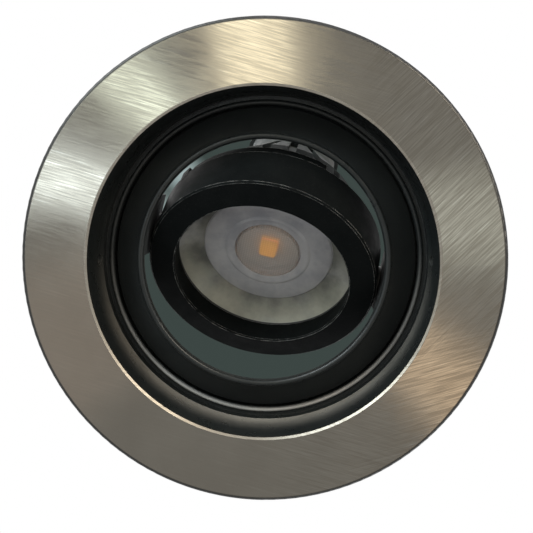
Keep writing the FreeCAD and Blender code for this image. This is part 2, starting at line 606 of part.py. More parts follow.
def holderContacts():
    """Brass blades at the bottom of each chamber, which the pin heads press against."""
    roof = -CAP_BACK + HOLDER_LENGTH - HOLDER_ROOF
    half = 0.5 * LAMP_PIN_PITCH
    blades = []
    for turn in (0, 180):
        blade = sector(half - 1.8, half + 1.8, roof - CONTACT_THICK, roof, -20, HOLDER_SLOT_SWEEP + 24)
        blades.append(turned(blade, turn))
    keep("lampholder_contacts", place(Part.makeCompound(blades)))


# Sprung arms. The right-hand set is made on +X and the left-hand set is the same, turned half round.

def bothSides(right, left, shape):
    keep(right, shape)
    keep(left, turned(shape, 180))


def rivetHeights():
    return (BRACKET_LOW_Z + 2 * RIVET_R, CIRCLIP_Z - RIVET_R - 0.4)


def springBracket():
    """Stamped channel: a plate on the can's flat and two cheeks with the pin's holes."""
    plate = block(PAD_FLAT, PAD_FLAT + BRACKET_SHEET, -BRACKET_HALF_WIDTH, BRACKET_HALF_WIDTH,
                  BRACKET_LOW_Z, BRACKET_HIGH_Z)
    body = plate
    cheekLow = SPRING_PIN_Z - 4.2
    for y in (-BRACKET_HALF_WIDTH, CHEEK_IN):
        cheek = block(PAD_FLAT, BRACKET_REACH, y, y + BRACKET_SHEET, cheekLow, BRACKET_HIGH_Z)
        edges = [e for e in cheek.Edges if abs(e.BoundBox.XMin - BRACKET_REACH) < 0.01
                 and e.BoundBox.YLength > 0.5 * BRACKET_SHEET and e.BoundBox.ZLength < 0.1]
        body = body.fuse(cheek.makeFillet(2.4, edges))
    wide = 2 * BRACKET_HALF_WIDTH
    body = body.cut(rod(SPRING_PIN_R, V(SPRING_PIN_X, -wide, SPRING_PIN_Z),
                        V(SPRING_PIN_X, wide, SPRING_PIN_Z)))
    for z in rivetHeights():
        body = body.cut(rod(RIVET_R, V(PAD_FLAT - 1, 0, z), V(PAD_FLAT + 3, 0, z)))
    bothSides("spring_bracket_right", "spring_bracket_left", body.removeSplitter())


def bracketRivets():
    rivets = []
    for side in (0, 180):
        for z in rivetHeights():
            shank = rod(RIVET_R, V(CAVITY_R + 0.3, 0, z), V(PAD_FLAT + BRACKET_SHEET, 0, z))
            head = rod(RIVET_HEAD_R, V(PAD_FLAT + BRACKET_SHEET, 0, z),
                       V(PAD_FLAT + BRACKET_SHEET + 0.6 * RIVET_HEAD, 0, z))
            rivets.append(turned(shank.fuse(head).removeSplitter(), side))
    keep("bracket_rivets", Part.makeCompound(rivets))


def springPins():
    end = BRACKET_HALF_WIDTH + 0.6
    pin = rod(SPRING_PIN_R, V(SPRING_PIN_X, -end, SPRING_PIN_Z), V(SPRING_PIN_X, end, SPRING_PIN_Z))
    for y, step in ((BRACKET_HALF_WIDTH, 1), (-BRACKET_HALF_WIDTH, -1)):
        pin = pin.fuse(rod(SPRING_PIN_R + 0.7, V(SPRING_PIN_X, y, SPRING_PIN_Z),
                           V(SPRING_PIN_X, y + step * 0.9, SPRING_PIN_Z)))
    bothSides("spring_pin_right", "spring_pin_left", pin.removeSplitter())


def armFrame(shape):
    """From the arm's own frame, pin at the origin and arm along X, to its place on the right."""
    placed = turned(shape, -ARM_DROP, axis=V(0, 1, 0))
    placed.translate(V(SPRING_PIN_X, 0, SPRING_PIN_Z))
    return placed


def springArm():
    """Channel-shaped stamped arm, open around the coil, with two ears on the pin."""
    half = 0.5 * ARM_SHEET
    clearCoil = COIL_R + WIRE_R + COIL_CLEARANCE
    body = block(clearCoil, ARM_LENGTH, -ARM_HALF_WIDTH, ARM_HALF_WIDTH, -half, half)
    earR = SPRING_PIN_R + 1.3
    for y in (-ARM_HALF_WIDTH, ARM_HALF_WIDTH - ARM_SHEET):
        side = block(0, ARM_LENGTH - SLEEVE_LENGTH - 0.6, y, y + ARM_SHEET, -earR, earR)
        tongue = block(clearCoil, ARM_LENGTH - SLEEVE_LENGTH - 0.6, y, y + ARM_SHEET, -earR, earR)
        taper = Part.Face(Part.makePolygon([V(clearCoil, y, earR), V(ARM_LENGTH, y, half),
                                            V(ARM_LENGTH, y, earR + 1), V(clearCoil, y, earR + 1),
                                            V(clearCoil, y, earR)])).extrude(V(0, ARM_SHEET, 0))
        lower = Part.Face(Part.makePolygon([V(0, y, -earR), V(clearCoil, y, -half), V(ARM_LENGTH, y, -half),
                                            V(ARM_LENGTH, y, -earR - 1), V(0, y, -earR - 1),
                                            V(0, y, -earR)])).extrude(V(0, ARM_SHEET, 0))
        end = rod(earR, V(0, y, 0), V(0, y + ARM_SHEET, 0))
        body = body.fuse([side.cut(taper).cut(lower), tongue.cut(taper).cut(lower), end])
    body = body.cut(rod(SPRING_PIN_R + PIN_PLAY, V(0, -2 * ARM_HALF_WIDTH, 0), V(0, 2 * ARM_HALF_WIDTH, 0)))
    bothSides("spring_arm_right", "spring_arm_left", armFrame(body.removeSplitter()))


def armSleeve():
    """Soft sleeve pushed over the arm's end."""
    half = SLEEVE_HALF
    start = ARM_LENGTH - SLEEVE_LENGTH
    wide = ARM_HALF_WIDTH + 0.25
    outer = block(start, ARM_LENGTH + SLEEVE_WALL, -wide, wide, -half, half)
    outer = outer.makeFillet(SLEEVE_ROUND, [e for e in outer.Edges if e.BoundBox.YLength > ARM_HALF_WIDTH])
    pocket = block(start - 1, ARM_LENGTH, -ARM_HALF_WIDTH, ARM_HALF_WIDTH, -0.5 * ARM_SHEET, 0.5 * ARM_SHEET)
    bothSides("arm_sleeve_right", "arm_sleeve_left", armFrame(outer.cut(pocket)))


def biarc(p0, t0, p1, t1):
    """Two arcs that leave p0 along t0 and reach p1 along t1."""
    v = p1 - p0
    t = t0 + t1
    a = 2 * (1 - t0.dot(t1))
    b = 2 * v.dot(t)
    c = -v.dot(v)
    d = -c / b if abs(a) < 1e-9 else (-b + math.sqrt(b * b - 4 * a * c)) / (2 * a)
    joint = (p0 + t0 * d + p1 - t1 * d) * 0.5
    return [arcAlong(p0, t0, joint), arcAlong(joint, (p1 - t1 * d - joint).normalize(), p1)]


def arcAlong(start, tangent, end):
    chord = end - start
    half = chord * 0.5
    across = chord.cross(tangent)
    if across.Length < 1e-9 * chord.Length:
        return Part.LineSegment(start, end).toShape()
    side = across.cross(chord).normalize()
    angle = math.asin(min(1.0, across.Length / (chord.Length * tangent.Length)))
    bulge = half.Length * math.tan(0.5 * angle)
    return Part.Arc(start, start + half + side * bulge, end).toShape()


def coilPath():
    """Nodes of one torsion spring: wall leg, turns at a steady pitch, arm leg, with their tangents."""
    legAngle = -90 - ARM_DROP
    startAngle = legAngle - 90
    endAngle = 90 - 6.5 - 360 * COIL_WINDS
    steps = 4 * COIL_WINDS
    sweep = endAngle - startAngle
    rise = COIL_PITCH * abs(sweep) / 360
    nodes = []
    for index in range(steps + 1):
        share = index / steps
        angle = math.radians(startAngle + sweep * share)
        spin = V(math.sin(angle), 0, -math.cos(angle)) * (COIL_R * math.radians(abs(sweep)))
        slope = V(0, 0 if index in (0, steps) else rise, 0)
        point = V(COIL_R * math.cos(angle), rise * (share - 0.5), COIL_R * math.sin(angle))
        nodes.append((point, (spin + slope).normalize()))
    return nodes


def torsionSpring():
    """One unbroken wire: a leg against the bracket, the turns, and a leg on the arm."""
    nodes = coilPath()
    first, firstAlong = nodes[0]
    last, lastAlong = nodes[-1]
    legStart = first - firstAlong * WALL_LEG
    edges = [Part.LineSegment(legStart, first).toShape()]
    for (p0, t0), (p1, t1) in zip(nodes, nodes[1:]):
        edges += biarc(p0, t0, p1, t1)
    edges.append(Part.LineSegment(last, last + lastAlong * ARM_LEG).toShape())
    path = Part.Wire(edges)
    section = Part.Wire(Part.makeCircle(WIRE_R, legStart, firstAlong))
    spring = path.makePipeShell([section], True, False)
    print("torsion spring: volume ratio", round(spring.Volume / (path.Length * math.pi * WIRE_R ** 2), 4),
          "least gap", round(leastGap(path), 3))
    bothSides("torsion_spring_right", "torsion_spring_left", armFrame(spring))


def leastGap(path):
    """Least clear distance between turns, on points a quarter turn or more apart along the wire."""
    step = 0.35
    points = path.discretize(Distance=step)
    apart = int(0.5 * math.pi * COIL_R / step) + 4
    least = min((point - other).Length for index, point in enumerate(points)
                for other in points[index + apart:])
    return least - 2 * WIRE_R


def main():
    for make in (bezel, housing, flangeGasket, glideRing, circlip, swivelRing, pivotPins, headBarrel,
                 frictionWashers, lampSeal, lampClip, lampLens, lampOptic, ledBoard, ledChip, lampBody,
                 lampCap, lampPins, holderBody, holderCover, holderScrews, holderContacts, springBracket,
                 bracketRivets, springPins, springArm, armSleeve, torsionSpring):
        make()
    os.makedirs("parts", exist_ok=True)
    for name, shape in SOLIDS.items():
        print(name, len(shape.Solids), round(shape.Volume, 1), shape.isValid())
        shape.exportStep("parts/" + name + ".step")


main()
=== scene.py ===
import math
import bmesh
import bpy
from mathutils import Matrix, Vector


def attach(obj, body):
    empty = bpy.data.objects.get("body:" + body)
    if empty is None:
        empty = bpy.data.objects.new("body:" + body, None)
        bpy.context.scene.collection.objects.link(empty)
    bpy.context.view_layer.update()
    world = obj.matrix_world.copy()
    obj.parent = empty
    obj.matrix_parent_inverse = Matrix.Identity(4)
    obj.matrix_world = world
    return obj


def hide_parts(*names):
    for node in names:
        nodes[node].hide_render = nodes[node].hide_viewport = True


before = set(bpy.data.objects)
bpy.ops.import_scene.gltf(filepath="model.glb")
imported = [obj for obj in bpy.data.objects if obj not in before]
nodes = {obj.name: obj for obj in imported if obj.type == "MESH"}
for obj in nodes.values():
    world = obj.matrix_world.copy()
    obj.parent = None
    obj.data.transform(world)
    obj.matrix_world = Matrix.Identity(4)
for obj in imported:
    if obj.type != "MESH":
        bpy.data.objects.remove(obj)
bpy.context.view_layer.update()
print("frame loaded:", len(nodes), "CAD nodes")

mm = 0.001
micron = 1e-6

# The head's own frame: tilt axis along X, light along -Z, pivot at the origin.
headPose = {"turn": 13.5, "tilt": 36.0, "pivot": 19.0}
headPlace = (Matrix.Rotation(math.radians(headPose["turn"]), 4, "Z")
             @ Matrix.Translation((0, 0, headPose["pivot"] * mm))
             @ Matrix.Rotation(math.radians(headPose["tilt"]), 4, "X"))


# Makes a node. An input is a socket to link from, or a plain value.
def put(tree, kind, inputs=None, **settings):
    made = tree.nodes.new(kind)
    for key, value in settings.items():
        setattr(made, key, value)
    for key, value in (inputs or {}).items():
        if isinstance(value, bpy.types.NodeSocket):
            tree.links.new(value, made.inputs[key])
        else:
            made.inputs[key].default_value = value
    return made


def mathNode(tree, operation, first, second, clamp=False):
    made = put(tree, "ShaderNodeMath", {0: first, 1: second}, operation=operation, use_clamp=clamp)
    return made.outputs[0]


def times(tree, first, second, clamp=False):
    return mathNode(tree, "MULTIPLY", first, second, clamp)


def plus(tree, first, second, clamp=False):
    return mathNode(tree, "ADD", first, second, clamp)


def mixNumber(tree, share, first, second):
    return put(tree, "ShaderNodeMix", {0: share, 2: first, 3: second}).outputs[0]


def mixColour(tree, share, first, second):
    return put(tree, "ShaderNodeMix", {0: share, 6: first, 7: second}, data_type="RGBA").outputs[2]


def opaque(tone):
    return (*tone, 1)


def rangeOf(tree, value, low, high, toLow=0.0, toHigh=1.0, smooth=True):
    kind = "SMOOTHSTEP" if smooth else "LINEAR"
    return put(tree, "ShaderNodeMapRange", {0: value, 1: low, 2: high, 3: toLow, 4: toHigh},
               interpolation_type=kind).outputs[0]


# 0 at the first of two places, in millimetres, and 1 at the second.
def between(tree, value, places):
    return rangeOf(tree, value, places[0] * mm, places[1] * mm)


def noise(tree, vector, scale, detail=3.0, rough=0.55):
    return put(tree, "ShaderNodeTexNoise", {"Vector": vector, "Scale": scale, "Detail": detail,
                                            "Roughness": rough}).outputs[0]


def axesOf(tree, vector):
    return put(tree, "ShaderNodeSeparateXYZ", {0: vector}).outputs


def fromAxis(tree, x, y):
    flat = put(tree, "ShaderNodeCombineXYZ", {0: x, 1: y}).outputs[0]
    return put(tree, "ShaderNodeVectorMath", {0: flat}, operation="LENGTH").outputs["Value"]


number, direction = "NodeSocketFloat", "NodeSocketVector"


def startGroup(name, inputs, output):
    group = bpy.data.node_groups.new(name, "ShaderNodeTree")
    for label, kind, value in inputs:
        socket = group.interface.new_socket(label, in_out="INPUT", socket_type=kind)
        if value is not None:
            socket.default_value = value
    group.interface.new_socket(output, in_out="OUTPUT", socket_type=number)
    return group, group.nodes.new("NodeGroupInput").outputs, group.nodes.new("NodeGroupOutput").inputs


strokes = {"perMetre": 600.0, "along": 0.04, "inwards": 60.0, "broadScale": 0.4, "broadShare": 0.22}


# Straight brush strokes in one direction: fine lines several millimetres long.
def strokesGroup():
    group, given, out = startGroup(
        "brush strokes", [("Vector", direction, None), ("Turn", number, 0.0), ("Width", number, 0.3)],
        "Height")
    turned = put(group, "ShaderNodeVectorRotate", {"Vector": given["Vector"], "Angle": given["Turn"]},
                 rotation_type="Z_AXIS").outputs[0]
    across = mathNode(group, "DIVIDE", strokes["perMetre"], given["Width"])
    stretch = put(group, "ShaderNodeCombineXYZ", {0: times(group, across, strokes["along"]), 1: across,
                                                  2: strokes["inwards"]}).outputs[0]
    long = put(group, "ShaderNodeVectorMath", {0: turned, 1: stretch}, operation="MULTIPLY").outputs[0]
    fine = noise(group, long, 1.0, 2.0, 0.65)
    broad = noise(group, long, strokes["broadScale"], 1.0, 0.5)
    group.links.new(mixNumber(group, strokes["broadShare"], fine, broad), out["Height"])
    return group


# How far the rounded normal leans from the flat one where wear starts and where it is full, and patches.
wear = {"lean": (0.985, 0.86), "scale": 420.0, "patches": (0.35, 0.62)}


# Mask of worn edges, broken up by noise; on the head's finish it carries a painted highlight along the edges.
def wearGroup():
    group, given, out = startGroup(
        "edge wear", [("Vector", direction, None), ("Radius", number, 0.2 * mm), ("Amount", number, 0.5)],
        "Mask")
    rounded = put(group, "ShaderNodeBevel", {"Radius": given["Radius"]}, samples=4).outputs[0]
    flat = put(group, "ShaderNodeNewGeometry").outputs["True Normal"]
    lean = put(group, "ShaderNodeVectorMath", {0: rounded, 1: flat}, operation="DOT_PRODUCT").outputs["Value"]
    edge = rangeOf(group, lean, *wear["lean"])
    patchy = rangeOf(group, noise(group, given["Vector"], wear["scale"], 4.0, 0.65), *wear["patches"])
    mask = times(group, times(group, edge, patchy), given["Amount"], clamp=True)
    group.links.new(mask, out["Mask"])
    return group


dust = {"tone": (0.30, 0.285, 0.26), "facing": (0.25, 0.95), "cloudScale": 130.0, "cloud": (0.3, 0.72),
        "speckScale": 2400.0, "speck": (0.62, 0.74), "speckShare": 0.35, "rough": 0.35}


# Mask of dust that settles on faces that look up.
def dustGroup():
    group, given, out = startGroup("dust", [("Vector", direction, None), ("Amount", number, 0.3)], "Mask")
    up = axesOf(group, put(group, "ShaderNodeNewGeometry").outputs["Normal"])[2]
    settled = rangeOf(group, up, *dust["facing"])
    cloud = rangeOf(group, noise(group, given["Vector"], dust["cloudScale"], 5.0, 0.6), *dust["cloud"])
    speck = rangeOf(group, noise(group, given["Vector"], dust["speckScale"], 1.0, 0.5), *dust["speck"])
    both = mathNode(group, "MAXIMUM", times(group, settled, cloud), times(group, speck, dust["speckShare"]))
    group.links.new(times(group, both, given["Amount"], clamp=True), out["Mask"])
    return group


groups = {"strokes": strokesGroup(), "wear": wearGroup(), "dust": dustGroup()}


def useGroup(tree, name, inputs):
    return put(tree, "ShaderNodeGroup", inputs, node_tree=groups[name]).outputs[0]


def startMaterial(name):
    material = bpy.data.materials.new(name)
    material.use_nodes = True
    tree = material.node_tree
    tree.nodes.clear()
    shader = tree.nodes.new("ShaderNodeBsdfPrincipled")
    put(tree, "ShaderNodeOutputMaterial", {"Surface": shader.outputs[0]})
    place = put(tree, "ShaderNodeTexCoord").outputs["Object"]
    return material, tree, shader, place


# Feeds the shader its colour, roughness and bump, whose height is in micrometres.
def feedShader(tree, shader, colour, rough, height, depth):
    bump = put(tree, "ShaderNodeBump", {"Strength": 1.0, "Distance": depth * micron, "Height": height})
    for socket, value in (("Base Color", colour), ("Roughness", rough), ("Normal", bump.outputs[0])):
        tree.links.new(value, shader.inputs[socket])


# Finishes: two tones that the colour drifts between, roughness range, grain (bumps per metre and height
# in micrometres), worn-edge colour and share (a painted highlight on the head's edges), and dust. Some also
# have shine, the strength of their reflections; dull, from which height to which they lose their gloss; or
# glow, a painted glow.
finishes = {
    "black_paint": {
        "tones": ((0.014, 0.0175, 0.0185), (0.023, 0.0265, 0.0265)), "metallic": 0.0, "rough": (0.26, 0.36),
        "grain": (2600, 2.0), "edge": ((0.20, 0.20, 0.195), 0.5), "dust": 0.10, "shine": 0.45,
        "dull": (4.8 * mm, 6.2 * mm, 0.0, 0.85)},
    # painted highlight: the head's edges get a pale tone at full share, for the light line along its lip
    "head_black": {
        "tones": ((0.0036, 0.0050, 0.0054), (0.0075, 0.0092, 0.0095)), "metallic": 0.0, "rough": (0.60, 0.72),
        "grain": (2600, 2.0), "edge": ((0.62, 0.63, 0.61), 1.0), "dust": 0.06, "shine": 0.07},
    "oxide_steel": {
        "tones": ((0.045, 0.045, 0.05), (0.09, 0.088, 0.085)), "metallic": 1.0, "rough": (0.4, 0.52),
        "grain": (2200, 3.0), "edge": ((0.3, 0.3, 0.29), 0.5), "dust": 0.1},
    "gasket_foam": {
        "tones": ((0.022, 0.022, 0.023), (0.045, 0.044, 0.043)), "metallic": 0.0, "rough": (0.85, 0.95),
        "grain": (3800, 60.0), "edge": ((0.08, 0.08, 0.08), 0.4), "dust": 0.3},
    "nylon": {
        "tones": ((0.030, 0.030, 0.030), (0.052, 0.052, 0.050)), "metallic": 0.0, "rough": (0.42, 0.55),
        "grain": (1500, 4.0), "edge": ((0.11, 0.11, 0.105), 0.4), "dust": 0.1},
    "spring_steel": {
        "tones": ((0.36, 0.36, 0.37), (0.52, 0.51, 0.50)), "metallic": 1.0, "rough": (0.22, 0.38),
        "grain": (5200, 2.0), "edge": ((0.68, 0.67, 0.65), 0.5), "dust": 0.12},
    "zinc_steel": {
        "tones": ((0.50, 0.52, 0.54), (0.66, 0.66, 0.64)), "metallic": 1.0, "rough": (0.26, 0.46),
        "grain": (900, 4.0), "edge": ((0.76, 0.76, 0.75), 0.6), "dust": 0.18},
    "silicone": {
        "tones": ((0.05, 0.05, 0.052), (0.085, 0.085, 0.085)), "metallic": 0.0, "rough": (0.5, 0.62),
        "grain": (1800, 5.0), "edge": ((0.13, 0.13, 0.13), 0.3), "dust": 0.3},
    "board_white": {
        "tones": ((0.82, 0.80, 0.76), (0.90, 0.88, 0.84)), "metallic": 0.0, "rough": (0.25, 0.35),
        "grain": (2200, 3.0), "edge": ((0.84, 0.84, 0.82), 0.3), "dust": 0.1},
    # painted glow: the phosphor is given a faint emission for the room's light that the lens gathers on it,
    # so that it looks brighter than what lies round it
    "phosphor": {
        "tones": ((0.95, 0.42, 0.03), (1.0, 0.52, 0.06)), "metallic": 0.0, "rough": (0.45, 0.6),
        "grain": (5000, 6.0), "edge": ((0.95, 0.6, 0.2), 0.3), "dust": 0.0,
        "glow": ((1.0, 0.46, 0.09), 0.30)},
    # painted shade: the lamp's white body is given a dark grey-green, the tone of the shade it lies in behind
    # the head
    "lamp_white": {
        "tones": ((0.040, 0.047, 0.046), (0.066, 0.074, 0.072)), "metallic": 0.0, "rough": (0.5, 0.62),
        "grain": (2600, 7.0), "edge": ((0.16, 0.17, 0.165), 0.4), "dust": 0.1, "shine": 0.06},
    "lamp_grey": {
        "tones": ((0.085, 0.09, 0.092), (0.13, 0.135, 0.136)), "metallic": 0.0, "rough": (0.48, 0.6),
        "grain": (3000, 7.0), "edge": ((0.26, 0.26, 0.26), 0.4), "dust": 0.15, "shine": 0.06},
    "ceramic": {
        "tones": ((0.075, 0.084, 0.083), (0.115, 0.124, 0.121)), "metallic": 0.0, "rough": (0.66, 0.8),
        "grain": (1300, 14.0), "edge": ((0.22, 0.225, 0.22), 0.5), "dust": 0.14, "shine": 0.05},
    "brass": {
        "tones": ((0.70, 0.50, 0.20), (0.82, 0.64, 0.33)), "metallic": 1.0, "rough": (0.2, 0.36),
        "grain": (1500, 2.0), "edge": ((0.9, 0.76, 0.46), 0.5), "dust": 0.08},
    "sleeve_rubber": {
        "tones": ((0.022, 0.022, 0.023), (0.04, 0.04, 0.04)), "metallic": 0.0, "rough": (0.55, 0.7),
        "grain": (1600, 10.0), "edge": ((0.09, 0.09, 0.09), 0.4), "dust": 0.3},
}
# The baffle has the swivel ring's paint, and keeps its gloss all the way down.
finishes["baffle_black"] = {key: value for key, value in finishes["black_paint"].items() if key != "dull"}

# What all finishes share: scales per metre of the drift in tone and of the smears, and each one's share.
shared = {"driftScale": 95.0, "driftShare": 0.7, "grainShare": 0.3, "smearScale": 240.0}


def makeFinish(name, look):
    material, tree, shader, place = startMaterial(name)
    grainScale, grainHeight = look["grain"]
    drift = rangeOf(tree, noise(tree, place, shared["driftScale"], 5.0, 0.6), 0.32, 0.68)
    fine = noise(tree, place, grainScale, 2.0, 0.5)
    share = plus(tree, times(tree, drift, shared["driftShare"]), times(tree, fine, shared["grainShare"]),
                 clamp=True)
    colour = mixColour(tree, share, *(opaque(tone) for tone in look["tones"]))
    edgeTone, edgeShare = look["edge"]
    # edge wear; on the head's finish its pale tone at full share is a painted highlight along the edges
    worn = useGroup(tree, "wear", {"Vector": place, "Amount": edgeShare})
    colour = mixColour(tree, worn, colour, opaque(edgeTone))
    dusty = useGroup(tree, "dust", {"Vector": place, "Amount": look["dust"]})
    colour = mixColour(tree, dusty, colour, opaque(dust["tone"]))
    smear = rangeOf(tree, noise(tree, place, shared["smearScale"], 4.0, 0.6), 0.3, 0.7, *look["rough"])
    rough = plus(tree, smear, times(tree, dusty, dust["rough"]), clamp=True)
    if "dull" in look:
        rough = mathNode(tree, "MAXIMUM", rough, rangeOf(tree, axesOf(tree, place)[2], *look["dull"]))
    feedShader(tree, shader, colour, rough, fine, grainHeight)
    shader.inputs["Metallic"].default_value = look["metallic"]
    shader.inputs["Specular IOR Level"].default_value = look.get("shine", 0.5)
    # painted glow: a faint emission on a part that is no lamp
    if "glow" in look:
        shader.inputs["Emission Color"].default_value = opaque(look["glow"][0])
        shader.inputs["Emission Strength"].default_value = look["glow"][1]
    return material


# Places are in millimetres from the trim's centre, X to the right and Y down in the photograph.
brushed = {
    "tones": ((0.435, 0.397, 0.335), (0.62, 0.578, 0.50)), "rough": (0.11, 0.19),
    "turns": (16.0, -44.0, -16.0),                # directions of the three sets of strokes, from X
    "right": (12, 34), "lower": (4, 24),          # where the second and third sets take over
    "calmLeft": (20, -10), "calmLow": (-8, 16),   # where the strokes fade out
    "force": (0.8, 0.18), "rightForce": 0.8,      # their strength elsewhere and there, and more at the right
    "width": 0.21, "depth": 1.5,                  # spacing in millimetres, depth in micrometres
    "scratch": (0.615, 0.70), "scratchTone": (0.86, 0.84, 0.78),
    "worn": 0.3, "wornRadius": 0.18, "wornTone": (0.80, 0.77, 0.70),
    # the rim's tone is a painted shade: the rounded outer edge is painted dark grey
    "rim": (56.4, 56.8), "rimShadeTone": (0.07, 0.07, 0.069),
    "nose": (42.2, 41.9), "noseShare": 0.6, "noseTone": (0.16, 0.145, 0.12), "dullEdges": 0.22,
}


# Hand-brushed sheet: strokes run one way on the left, two other ways on the right, and fade out at the
# lower left. The outer edge is painted dark, a painted shade, and the inner lip is darker.
def brushedNickel():
    material, tree, shader, place = startMaterial("brushed_nickel")
    x, y = axesOf(tree, place)[:2]
    left, upperRight, lowerRight = (
        useGroup(tree, "strokes", {"Vector": place, "Turn": -math.radians(turn), "Width": brushed["width"]})
        for turn in brushed["turns"])
    sway = times(tree, mathNode(tree, "SUBTRACT", noise(tree, place, 38.0, 3.0, 0.5), 0.5), 40 * mm)
    rightSide = between(tree, plus(tree, x, sway), brushed["right"])
    lowerSide = between(tree, plus(tree, y, sway), brushed["lower"])
    lines = mixNumber(tree, rightSide, left, mixNumber(tree, lowerSide, upperRight, lowerRight))
    calm = times(tree, between(tree, x, brushed["calmLeft"]), between(tree, y, brushed["calmLow"]))
    force = plus(tree, rangeOf(tree, calm, 0.0, 1.0, *brushed["force"], smooth=False),
                 times(tree, rightSide, brushed["rightForce"]))
    deep = rangeOf(tree, lines, 0.34, 0.66)
    lined = plus(tree, times(tree, mathNode(tree, "SUBTRACT", deep, 0.5), force), 0.5)
    cloud = rangeOf(tree, noise(tree, place, 60.0, 4.0, 0.55), 0.3, 0.7)
    colour = mixColour(tree, mixNumber(tree, 0.25, lined, cloud),
                       *(opaque(tone) for tone in brushed["tones"]))
    scratch = times(tree, rangeOf(tree, lines, *brushed["scratch"]), force)
    colour = mixColour(tree, times(tree, scratch, 0.5), colour, opaque(brushed["scratchTone"]))
    worn = useGroup(tree, "wear", {"Vector": place, "Radius": brushed["wornRadius"] * mm,
                                   "Amount": brushed["worn"]})
    colour = mixColour(tree, worn, colour, opaque(brushed["wornTone"]))
    reach = fromAxis(tree, x, y)
    # painted shade on the rounded outer edge
    rim = between(tree, reach, brushed["rim"])
    colour = mixColour(tree, rim, colour, opaque(brushed["rimShadeTone"]))
    nose = between(tree, reach, brushed["nose"])
    colour = mixColour(tree, times(tree, nose, brushed["noseShare"]), colour, opaque(brushed["noseTone"]))
    smudge = rangeOf(tree, noise(tree, place, 85.0, 4.0, 0.6), 0.35, 0.7, 0.0, 0.03)
    smooth, coarse = brushed["rough"]
    rough = plus(tree, rangeOf(tree, deep, 0.0, 1.0, coarse, smooth, smooth=False), smudge)
    edges = times(tree, mathNode(tree, "MAXIMUM", rim, nose), brushed["dullEdges"])
    rough = plus(tree, rough, edges, clamp=True)
    feedShader(tree, shader, colour, rough, times(tree, deep, force), brushed["depth"])
    shader.inputs["Metallic"].default_value = 1.0
    return material


# Painted highlight on the baffle, in millimetres: paler towards the step at the foot of its wall, and along
# the bead round the swivel ring, most of all on the lower side, where the light falls.
baffleSheen = {"wall": (39.9, 40.3), "fade": (0.5, 9.3), "wallTone": (0.34, 0.32, 0.285), "wallShare": 0.85,
          "bead": (38.0, 38.75, 39.4), "floor": 12.3, "beadTone": (0.85, 0.83, 0.80), "beadShare": 0.8,
          "lower": (-6, 36), "upperShare": 0.02}


def paintBaffleSheen(material):
    tree = material.node_tree
    shader = next(node for node in tree.nodes if node.bl_idname == "ShaderNodeBsdfPrincipled")
    place = put(tree, "ShaderNodeTexCoord").outputs["Object"]
    x, y, z = axesOf(tree, place)
    reach = fromAxis(tree, x, y)
    low, high = baffleSheen["fade"]
    climb = mathNode(tree, "POWER", rangeOf(tree, z, low * mm, high * mm, smooth=False), 2.0)
    wall = times(tree, between(tree, reach, baffleSheen["wall"]), climb)
    wall = times(tree, wall, between(tree, z, (high + 0.2, high + 0.05)))
    inner, middle, outer = baffleSheen["bead"]
    bead = times(tree, between(tree, reach, (inner, middle)), between(tree, reach, (outer, middle)))
    bead = times(tree, bead, between(tree, z, (baffleSheen["floor"] + 0.2, baffleSheen["floor"])))
    patchy = rangeOf(tree, noise(tree, place, 90.0, 4.0, 0.6), 0.25, 0.7, 0.7, 1.0)
    start, end = (value * mm for value in baffleSheen["lower"])
    # painted light: the lower side is made paler, the upper side hardly at all
    lower = times(tree, patchy, rangeOf(tree, y, start, end, baffleSheen["upperShare"]))
    colour = shader.inputs["Base Color"].links[0].from_socket
    for mask, part in ((wall, "wall"), (bead, "bead")):
        share = times(tree, times(tree, mask, lower), baffleSheen[part + "Share"])
        colour = mixColour(tree, share, colour, opaque(baffleSheen[part + "Tone"]))
    tree.links.new(colour, shader.inputs["Base Color"])


materials = {name: makeFinish(name, look) for name, look in finishes.items()}
paintBaffleSheen(materials["baffle_black"])
materials["brushed_nickel"] = brushedNickel()
print("finishes made:", len(materials))

wornBy = {
    "brushed_nickel": ["bezel"],
    "black_paint": ["swivel_ring"],
    "baffle_black": ["housing"],
    "head_black": ["head_barrel"],
    "oxide_steel": ["pivot_pin_right", "pivot_pin_left"],
    "gasket_foam": ["flange_gasket"],
    "nylon": ["glide_ring", "friction_washer_right", "friction_washer_left"],
    "spring_steel": ["swivel_circlip", "lamp_clip", "torsion_spring_right", "torsion_spring_left"],
    "zinc_steel": ["lampholder_screws", "spring_bracket_right", "spring_bracket_left", "bracket_rivets",
                   "spring_pin_right", "spring_pin_left", "spring_arm_right", "spring_arm_left"],
    "silicone": ["lamp_seal"],
    "board_white": ["led_board"],
    "phosphor": ["led_chip"],
    "lamp_white": ["lamp_body"],
    "lamp_grey": ["lamp_cap"],
    "ceramic": ["lampholder_body", "lampholder_cover"],
    "brass": ["lamp_pins", "lampholder_contacts"],
    "sleeve_rubber": ["arm_sleeve_right", "arm_sleeve_left"],
}


def dress(obj, material):
    obj.data.materials.clear()
    obj.data.materials.append(material)


for name, worn in wornBy.items():
    for part in worn:
        dress(nodes[part], materials[name])
print("CAD nodes dressed:", sum(len(worn) for worn in wornBy.values()))


def addObject(name, data):
    made = bpy.data.objects.new(name, data)
    bpy.context.scene.collection.objects.link(made)
    return made


def meshOf(name, shape):
    mesh = bpy.data.meshes.new(name)
    shape.to_mesh(mesh)
    shape.free()
    return mesh


# Puts a shape made in the head's frame in its place, with smooth faces and creases above an angle.
def headPiece(name, shape, look, crease):
    bmesh.ops.recalc_face_normals(shape, faces=shape.faces)
    bmesh.ops.transform(shape, matrix=headPlace, verts=shape.verts)
    mesh = meshOf(name, shape)
    mesh.polygons.foreach_set("use_smooth", [True] * len(mesh.polygons))
    mesh.set_sharp_from_angle(angle=math.radians(crease))
    made = addObject(name, mesh)
    dress(made, look)
    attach(made, "head")
    return made


